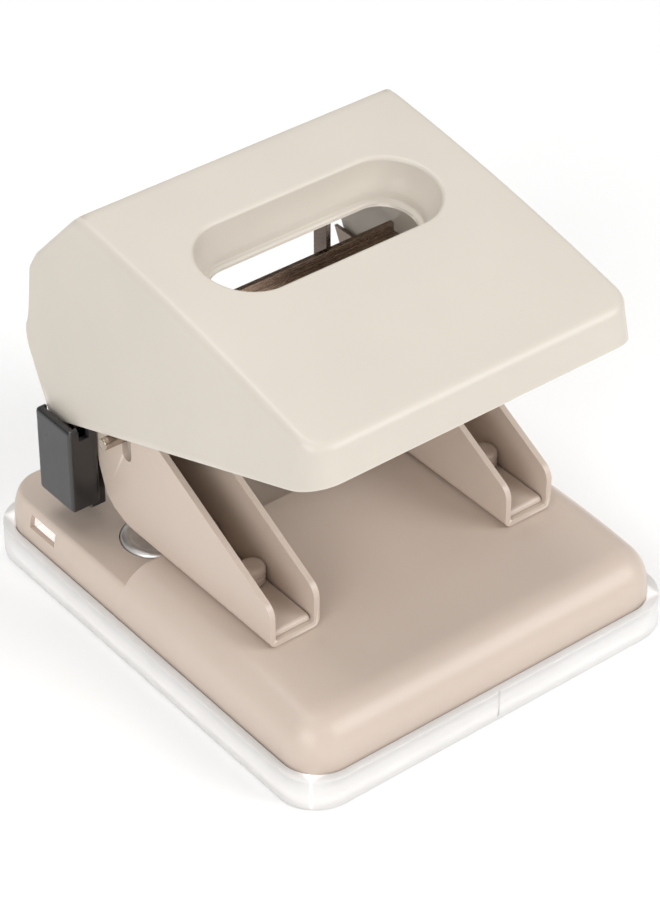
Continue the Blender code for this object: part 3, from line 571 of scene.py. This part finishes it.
def filled_sheet(bm, outline, inner, height, spacing, ys=()):
    """Fills between an outline and an optional inner ring with fine triangles on a height field.

    The triangles' rows are evenly spaced, with extra rows at ys. Returns the vertices of each ring, in order.
    """
    points = [Vector(p) for p in outline]
    rings = [list(range(len(outline)))]
    if inner:
        rings.append(list(range(len(points), len(points) + len(inner))))
        points += [Vector(p) for p in inner]
    links = [(ring[i], ring[(i + 1) % len(ring)]) for ring in rings for i in range(len(ring))]
    edge, least = list(points), (0.55 * spacing) ** 2
    max_x = max(abs(x) for x, y in outline)
    low_y, high_y = min(y for x, y in outline), max(y for x, y in outline)
    rows, columns = round((high_y - low_y) / spacing), round(2 * max_x / spacing)
    even = [low_y + (high_y - low_y) * i / rows for i in range(1, rows)]
    for y in sorted({*ys, *even}):
        for i in range(1, columns):
            spot = Vector((max_x * (2 * i / columns - 1), y))
            if min((spot - e).length_squared for e in edge) <= least or not inside(spot, outline):
                continue
            if not inner or not inside(spot, inner):
                points.append(spot)
    flat, _, faces, origins, _, _ = delaunay_2d_cdt(points, links, [], 0, 1e-7)
    verts = [bm.verts.new((p.x, p.y, height(p.x, p.y))) for p in flat]
    where = {source: index for index, sources in enumerate(origins) for source in sources}
    for face in faces:
        middle = sum((flat[i] for i in face), Vector((0, 0))) / len(face)
        if inside(middle, outline) and not (inner and inside(middle, inner)):
            bm.faces.new([verts[i] for i in face])
    return [[verts[where[i]] for i in ring] for ring in rings]


def inside(spot, outline):
    """True where a line from the spot crosses the outline an odd number of times."""
    hit = False
    x, y = spot[0], spot[1]
    for (x1, y1), (x2, y2) in zip(outline, outline[1:] + outline[:1]):
        if (y1 > y) != (y2 > y) and x < (x2 - x1) * (y - y1) / (y2 - y1) + x1:
            hit = not hit
    return hit


def bridge(bm, first, second):
    """Faces between two rings of the same length. Vertices may be shared."""
    count = len(first)
    for i in range(count):
        j = (i + 1) % count
        corners = [first[i], second[i], second[j], first[j]]
        unique = [v for k, v in enumerate(corners) if v not in corners[:k]]
        if len(unique) > 2:
            bm.faces.new(unique)


def base_mesh():
    """The base's outer skin: its filled top, rounded shoulder and upright foot."""
    rows, step_rows, corner_steps, shoulder_rings = 40, 6, 16, 22
    spacing, step_clear = 3.4 * MM, 2 * MM
    low, high = -BASE_HALF_Y + BASE_R, BASE_HALF_Y - BASE_R
    along = [low + (high - low) * i / rows for i in range(1, rows)]
    along = [y for y in along if not STEP_Y - step_clear < y < STEP_Y + STEP_RUN + step_clear]
    step = [STEP_Y + STEP_RUN * i / step_rows for i in range(-1, step_rows + 2)]
    along = sorted(along + step)
    ends = (-BASE_HALF_Y, BASE_HALF_Y, BASE_R, BASE_R)
    stops = rounded_rectangle(BASE_HALF_X, *ends, corner_steps, rows, along)
    bm = bmesh.new()
    edge = ring_of(stops, 0.995 * BASE_R)
    (last,) = filled_sheet(bm, edge, None, lambda x, y: base_height(y, BASE_R), spacing, step)
    turns = [math.radians(90 * i / shoulder_rings) for i in range(1, shoulder_rings)]
    for inset in [BASE_R * (1 - math.sin(a)) for a in turns] + [0]:
        ring = [bm.verts.new((x, y, base_height(y, inset))) for x, y in ring_of(stops, inset)]
        bridge(bm, last, ring)
        last = ring
    foot = [bm.verts.new((v.co.x, v.co.y, BASE_FOOT_Z)) for v in last]
    bridge(bm, last, foot)
    return facing_up(finish_mesh(bm, "base"))


def facing_up(mesh):
    """The open skin with its faces turned so that its top faces up."""
    if sum(p.normal.z * p.area for p in mesh.polygons) < 0:
        mesh.flip_normals()
    return mesh


def solid_sheet(mesh, thickness):
    """The skin made into sheet of that thickness, inwards."""
    obj = loose(mesh)
    modifier = obj.modifiers.new("Thickness", "SOLIDIFY")
    modifier.thickness = thickness
    modifier.offset = -1
    modifier.use_even_offset = True
    modifier.thickness_clamp = 0
    return mesh_of(obj)


def make_base():
    obj = loose(solid_sheet(base_mesh(), SHEET))
    cut(obj, box_mesh(*GAUGE_SLOT))
    for sign in SIDES.values():
        x = sign * PUNCH_X
        cut(obj, bar_mesh(DIE_OPENING_R, (x, PUNCH_Y, 10 * MM), (x, PUNCH_Y, 40 * MM), 64))
    piece(mesh_of(obj), "base_pressing", "base", "base_paint", ["base_plate"])


def make_tray():
    obj = loose(box_mesh((-TRAY_HALF_X, -TRAY_HALF_Y, 0), (TRAY_HALF_X, TRAY_HALF_Y, TRAY_TOP_Z), TRAY_R))
    hollow_low = (-TRAY_INSIDE_X, -TRAY_INSIDE_Y, TRAY_FLOOR)
    cut(obj, box_mesh(hollow_low, (TRAY_INSIDE_X, TRAY_INSIDE_Y, 30 * MM), TRAY_INSIDE_R))
    seat_x, seat_y = BASE_HALF_X + GAP, BASE_HALF_Y + GAP
    cut(obj, box_mesh((-seat_x, -seat_y, TRAY_LEDGE_Z), (seat_x, seat_y, 31 * MM), BASE_R + GAP))
    seam_low = (-SEAM_HALF, -TRAY_HALF_Y - 1 * MM, SEAM_LOW_Z)
    cut(obj, box_mesh(seam_low, (SEAM_HALF, -TRAY_HALF_Y + SEAM_DEPTH, SEAM_TOP_Z)))
    piece(mesh_of(obj), "frosted_tray", "tray", "frosted_plastic", ["chip_tray"], bevel=0.7 * MM, segments=4)


def make_dies():
    """Dies with a raised round ring above the deck and a flange under it."""
    top, under = DECK_Z + 0.2 * MM, DECK_Z - SHEET - GAP
    hump_x, hump_z, foot_z = DIE_RIM_R - DIE_HUMP_R, DECK_Z - 0.3 * MM, under - DIE_FLANGE_T
    turns = [math.radians(180 - 15 * i) for i in range(2, 13)]
    hump = [(hump_x + DIE_HUMP_R * math.cos(a), hump_z + DIE_HUMP * math.sin(a)) for a in turns]
    flange = [(DIE_RIM_R + DIE_FLANGE, under), (DIE_RIM_R + DIE_FLANGE, foot_z), (DIE_HOLE_R + 0.6 * MM, foot_z)]
    profile = [(DIE_HOLE_R, top), (DIE_FLAT_R, top), *hump, (DIE_RIM_R, under), *flange]
    for side, sign in SIDES.items():
        mesh = lathe(profile, (sign * PUNCH_X, PUNCH_Y), 96)
        piece(mesh, f"die_button_{side}", "base", "steel", [f"die_{side}"], "plate_steel", 0.15 * MM, 2)


# Channels


def channel_outline():
    """The side of a channel wall, with the ear that carries the hinge rod."""
    nose = arc((CHANNEL_FRONT_Y + NOSE_R, NOSE_Z - NOSE_R * 0.6), NOSE_R, 180, 118, 10)
    bend = arc((WALL_TOP_Y, WALL_TOP_Z - WALL_TOP_R), WALL_TOP_R, 119, 90, 4)
    return [(CHANNEL_FRONT_Y, CHANNEL_Z), *nose, *bend, *EAR_AND_HEEL]


def bend_floor(bm, z, radius, segments):
    """Rounds the two long edges at that height."""
    level = [e for e in bm.edges if all(abs(v.co.z - z) < 0.001 * MM for v in e.verts)]
    long = [e for e in level if abs(e.verts[0].co.y - e.verts[1].co.y) > 30 * MM]
    bmesh.ops.bevel(bm, geom=long, offset=radius, segments=segments, profile=0.5, affect="EDGES")


def make_channel(side, sign):
    middle, inner = sign * PUNCH_X, CHANNEL_HALF - CHANNEL_SHEET
    bm = bmesh.new()
    bm.from_mesh(slab_mesh(channel_outline(), middle - CHANNEL_HALF, middle + CHANNEL_HALF))
    bend_floor(bm, CHANNEL_Z, FLOOR_BEND_R, 8)
    obj = loose(finish_mesh(bm, "channel"))
    floor_z = CHANNEL_Z + CHANNEL_SHEET
    hollow = bmesh.new()
    hollow.from_mesh(box_mesh((middle - inner, -60 * MM, floor_z), (middle + inner, 70 * MM, 80 * MM)))
    bend_floor(hollow, floor_z, INSIDE_BEND_R, 5)
    cut(obj, finish_mesh(hollow, "hollow"))
    outer_wall = sorted((sign * (PUNCH_X + inner - 1 * MM), sign * (PUNCH_X + CHANNEL_HALF + 1 * MM)))
    cut(obj, slab_mesh(REAR_TRIM, *outer_wall))
    run = (TRAVEL + GAP) / 2
    slot = [(PUNCH_Y + b, PIN_Z - run + GAP + a) for a, b in stadium(run, PIN_R + GAP, 16, 2)]
    low_x, high_x = middle - 20 * MM, middle + 20 * MM
    cut(obj, slab_mesh(slot, low_x, high_x))
    cut(obj, bar_mesh(PUNCH_BORE_R, (middle, PUNCH_Y, 20 * MM), (middle, PUNCH_Y, 32 * MM)))
    cut(obj, bar_mesh(ROD_BORE_R, (low_x, *HINGE), (high_x, *HINGE)))
    name = f"channel_pressing_{side}"
    piece(mesh_of(obj), name, "base", "base_paint", [f"channel_{side}"], bevel=0.32 * MM)


def make_channel_plate(side, sign):
    middle, half = sign * PUNCH_X, CHANNEL_HALF - CHANNEL_SHEET - PLATE_SIDE_GAP
    low_z = CHANNEL_Z + CHANNEL_SHEET + GAP
    top_z, front_y = low_z + PLATE_T, CHANNEL_FRONT_Y + PLATE_FRONT_INSET
    nose = arc((front_y + PLATE_NOSE_R, top_z - PLATE_NOSE_R), PLATE_NOSE_R, 90, 180, 8)
    line = [(PLATE_REAR_Y, low_z), (PLATE_REAR_Y, top_z), *nose, (front_y, low_z)]
    mesh = slab_mesh(line, middle - half, middle + half)
    piece(mesh, f"stiffener_{side}", "base", "base_paint", [f"channel_plate_{side}"], bevel=0.3 * MM)


def make_rivets():
    """Domed two-tier rivet heads with their paint run into the groove."""
    seat = CHANNEL_Z + CHANNEL_SHEET + GAP + PLATE_T + GAP
    top, r, crown_r, crown_h = seat + RIVET_H, RIVET_R, 1.2 * MM, 1.1 * MM
    turns = [math.radians(15 * i) for i in range(7)]
    crown = [(r - crown_r + crown_r * math.sin(a), top - crown_h + crown_h * math.cos(a)) for a in turns]
    groove_steps = ((0, 2.3), (0.2, 2.6), (0.4, 2.9), (0.3, 3.2), (0.05, 3.5))  # inwards and down, in mm
    groove = [(r - inwards * MM, top - down * MM) for inwards, down in groove_steps]
    collar = [(r - 0.05 * MM, seat + 0.4 * MM), (r - 0.3 * MM, seat + 0.01 * MM), (RIVET_SHANK_R, seat)]
    under = PLATEAU_Z - SHEET - GAP
    foot = [
        (RIVET_SHANK_R, under),
        (RIVET_FOOT_R, under),
        (RIVET_FOOT_R - 0.2 * MM, under - RIVET_FOOT_H + 0.2 * MM),
        (0, under - RIVET_FOOT_H),
    ]
    profile = [(0, top - 0.12 * MM), (crown_r, top - 0.08 * MM), *crown, *groove, *collar, *foot]
    for side, sign in SIDES.items():
        for place, y in RIVET_YS.items():
            mesh = lathe(profile, (sign * PUNCH_X + RIVET_SHIFT_X, y))
            piece(mesh, f"rivet_head_{place}_{side}", "base", "base_paint", [f"rivet_{place}_{side}"])


# Punches and springs


def make_punch_parts(side, sign):
    middle, body = sign * PUNCH_X, f"punch_{side}"
    pin_ends = [(sign * x, PUNCH_Y, PIN_Z) for x in (PIN_OUTER_X, PIN_INNER_X)]
    pin = bar_mesh(PIN_R, *pin_ends, chamfer=PIN_CHAMFER)
    piece(pin, f"polished_pin_{side}", body, "steel", [f"cross_pin_{side}"])
    top = PIN_Z - PIN_R - GAP
    under, flat_r = top - WASHER_T, WASHER_R - WASHER_EDGE
    rim = [(flat_r, top), (WASHER_R, top - WASHER_EDGE), (WASHER_R, under + WASHER_EDGE), (flat_r, under)]
    washer = lathe([(WASHER_BORE_R, top), *rim, (WASHER_BORE_R, under)], (middle, PUNCH_Y))
    piece(washer, f"spring_washer_{side}", body, "steel", [f"spring_seat_{side}"], "plate_steel")
    low = CHANNEL_Z + CHANNEL_SHEET + GAP + SPRING_WIRE_R
    high = under - GAP - SPRING_WIRE_R
    mesh = spring_mesh(middle, low, high)
    spring = piece(mesh, f"coil_spring_{side}", "base", "spring_steel", [f"return_spring_{side}"])
    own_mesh(spring)


def spring_mesh(middle, low, high):
    """A coil with closed ends: its first and last turns rise less than the others."""
    per_turn, wire_sides, end_turns, end_rise = 40, 10, 0.75, 1.3 * SPRING_WIRE_R
    flat = end_turns / SPRING_TURNS
    climb = high - low - 2 * end_rise
    count = SPRING_TURNS * per_turn
    bm = bmesh.new()
    rings = []
    for i in range(count + 1):
        share = i / count
        rise = min(max((share - flat) / (1 - 2 * flat), 0), 1)
        ends = min(share / flat, 1) + max((share - 1 + flat) / flat, 0)
        z = low + end_rise * ends + climb * rise
        a = math.tau * SPRING_TURNS * share
        out = Vector((math.cos(a), math.sin(a), 0))
        centre = Vector((middle, PUNCH_Y, z)) + out * SPRING_R
        ring = []
        for b in [math.tau * k / wire_sides for k in range(wire_sides)]:
            round_wire = out * math.cos(b) + Vector((0, 0, math.sin(b)))
            ring.append(bm.verts.new(centre + round_wire * SPRING_WIRE_R))
        rings.append(ring)
    for first, second in zip(rings, rings[1:]):
        bridge(bm, first, second)
    bm.faces.new(rings[0])
    bm.faces.new(rings[-1])
    return finish_mesh(bm, "spring", 60)


# Lever


def top_of_lever(y):
    """The lever's height along its length: a crowned top, the rear chamfer and the steep back."""
    run = TOP_REAR[0] - y
    crown = TOP_REAR[1] - TOP_SLOPE * run - TOP_CURVE * max(run, 0) ** 2
    fold_slope = (CHAMFER_END[1] - TOP_REAR[1]) / (CHAMFER_END[0] - TOP_REAR[0])
    fold = TOP_REAR[1] + fold_slope * (y - TOP_REAR[0])
    back_slope = (REAR_END_Z - CHAMFER_END[1]) / (LEVER_REAR_Y - CHAMFER_END[0])
    back = CHAMFER_END[1] + back_slope * (y - CHAMFER_END[0])
    return soften(soften(crown, fold, FOLD_BLEND), back, BACK_BLEND)


def lower_edge(y):
    """The height of the skirt's lower edge."""
    straight = EDGE_REAR[1] + EDGE_SLOPE * (EDGE_REAR[0] - y)
    if y <= EDGE_REAR[0]:
        return straight
    share = min((y - EDGE_REAR[0]) / (LEVER_REAR_Y - EDGE_REAR[0]), 1)
    return EDGE_REAR[1] + (REAR_END_Z - 3 * MM - EDGE_REAR[1]) * share


def lever_mesh():
    """The lever's outer skin: crowned top, rolled edges, leaning skirt and the drawn window collar."""
    rows, across, corner_steps, roll_rings, skirt_rings = 46, 44, 14, 8, 10
    spacing, fold_ys = 2.8 * MM, [TOP_REAR[0] + d * MM for d in (-1.2, 0, 1.2)]
    low, high = LEVER_FRONT_Y + LEVER_FRONT_R, LEVER_REAR_Y - LEVER_REAR_R
    along = sorted([low + (high - low) * i / rows for i in range(1, rows)] + [EDGE_REAR[0]])
    ends = (LEVER_FRONT_Y, LEVER_REAR_Y, LEVER_FRONT_R, LEVER_REAR_R)
    stops = rounded_rectangle(LEVER_HALF_X, *ends, corner_steps, across, along)
    hole = [(x, WINDOW_Y + y) for x, y in stadium(WINDOW_HALF_RUN, WINDOW_R + WINDOW_RIM_R)]
    bm = bmesh.new()
    edge = ring_of(stops, LEVER_ROLL)
    last, inner = filled_sheet(bm, edge, hole, lambda x, y: top_of_lever(y), spacing, fold_ys)
    for i in range(1, roll_rings + 1):
        a = math.radians(90 * i / roll_rings)
        inset = LEVER_ROLL * (1 - math.sin(a))
        fall = LEVER_ROLL * (1 - math.cos(a))
        ring = [bm.verts.new((x, y, top_of_lever(y) - fall)) for x, y in ring_of(stops, inset)]
        bridge(bm, last, ring)
        last = ring
    for share in [i / skirt_rings for i in range(1, skirt_rings + 1)]:
        ring = []
        for (x, y), (_, straight_y) in zip(ring_of(stops, -LEVER_FLARE * share), ring_of(stops, 0)):
            top = top_of_lever(straight_y) - LEVER_ROLL
            ring.append(bm.verts.new((x, y, top + (min(lower_edge(y), top - 2 * MM) - top) * share)))
        bridge(bm, last, ring)
        last = ring
    tilt = math.atan(TOP_SLOPE + 2 * TOP_CURVE * (TOP_REAR[0] - WINDOW_Y))
    turns = [math.radians(10 * i) for i in range(1, 10)]
    rim = [(WINDOW_RIM_R - WINDOW_RIM_R * math.sin(a), -WINDOW_RIM_R * (1 - math.cos(a))) for a in turns]
    last = inner
    for outward, depth in rim + COLLAR:
        ring = []
        for x, y in stadium(WINDOW_HALF_RUN, WINDOW_R + outward):
            sunk_y = WINDOW_Y + y - depth * math.sin(tilt) * min(-depth / COLLAR_SLIDE, 1)
            ring.append(bm.verts.new((x, sunk_y, top_of_lever(WINDOW_Y + y) + depth * math.cos(tilt))))
        bridge(bm, last, ring)
        last = ring
    return facing_up(finish_mesh(bm, "lever"))


def make_lever():
    mesh = solid_sheet(lever_mesh(), SHEET)
    piece(mesh, "lever_shell", "lever", "paint", ["lever"], bevel=0.4 * MM, angle=55)


# Stage, camera and light


def make_camera():
    data = bpy.data.cameras.new("camera")
    data.lens = CAMERA_LENS
    data.clip_start, data.clip_end = 0.01, 20
    camera = loose(data, "camera")
    azimuth, elevation = math.radians(CAMERA_AZIMUTH), math.radians(CAMERA_ELEVATION)
    flat = math.cos(elevation)
    back = Vector((math.sin(azimuth) * flat, -math.cos(azimuth) * flat, math.sin(elevation)))
    camera.location = CAMERA_PLACE
    camera.rotation_euler = (-back).to_track_quat("-Z", "Y").to_euler()
    bpy.context.scene.camera = camera


def make_light(name, place, size, power):
    data = bpy.data.lights.new(name, "AREA")
    data.shape = "RECTANGLE"
    data.size, data.size_y = size
    data.energy = power
    light = loose(data, name)
    light.location = place
    light.rotation_euler = (Vector(LIGHT_TARGET) - Vector(place)).to_track_quat("-Z", "Y").to_euler()


def make_stage():
    bm = bmesh.new()
    bmesh.ops.create_grid(bm, x_segments=24, y_segments=24, size=FLOOR_SIZE)
    floor = loose(finish_mesh(bm, "floor"), "floor")
    material, shader = new_material("pale_floor", (0.97, 0.967, 0.964), 0.75)
    gloss = remap(material, noise(material, FLOOR_GLOSS, 2), 0.3, 0.7, 0.7, 0.8)
    wire(material, gloss, shader.inputs["Roughness"])
    shader.inputs["Specular IOR Level"].default_value = 0.2
    floor.data.materials.append(material)
    floor.location.z = -FLOOR_DROP
    world = bpy.data.worlds.new("studio")
    world.use_nodes = True
    background = world.node_tree.nodes["Background"]
    background.inputs["Color"].default_value = (1, 1, 1, 1)
    background.inputs["Strength"].default_value = WORLD_STRENGTH
    bpy.context.scene.world = world
    for name, (place, size, power) in LIGHTS.items():
        make_light(name, place, size, power)
    bpy.context.scene.view_settings.view_transform = "Standard"


# Nodes that keep their CAD mesh: the start of the name, the material and the width of the rounded edges
CARRIED = {
    "hinge_cover": ("black_plastic", 0.25 * MM),
    "hinge_rod": ("steel", 0.15 * MM),
    "rod_clip": ("plate_steel", 0.12 * MM),
    "hinge_arm": ("dark_steel", 0.2 * MM),
    "lever_cross_bar": ("dark_steel", 0.25 * MM),
    "press_frame": ("brown_steel", 0.25 * MM),
    "punch_": ("steel", 0.12 * MM),
}


def finish_carried_nodes():
    for node_name, node in NODES.items():
        for prefix, (material_name, width) in CARRIED.items():
            if node_name.startswith(prefix) and not node.hide_render:
                node.data.materials.clear()
                node.data.materials.append(MATERIALS[material_name])
                weld = node.modifiers.new("Weld", "WELD")
                weld.merge_threshold = WELD_DISTANCE
                round_edges(node, width, 2)


MATERIALS = make_materials()
make_camera()
make_stage()
make_tray()
make_base()
make_dies()
make_rivets()
make_lever()
for side_name, side_sign in SIDES.items():
    make_channel(side_name, side_sign)
    make_channel_plate(side_name, side_sign)
    make_punch_parts(side_name, side_sign)
finish_carried_nodes()
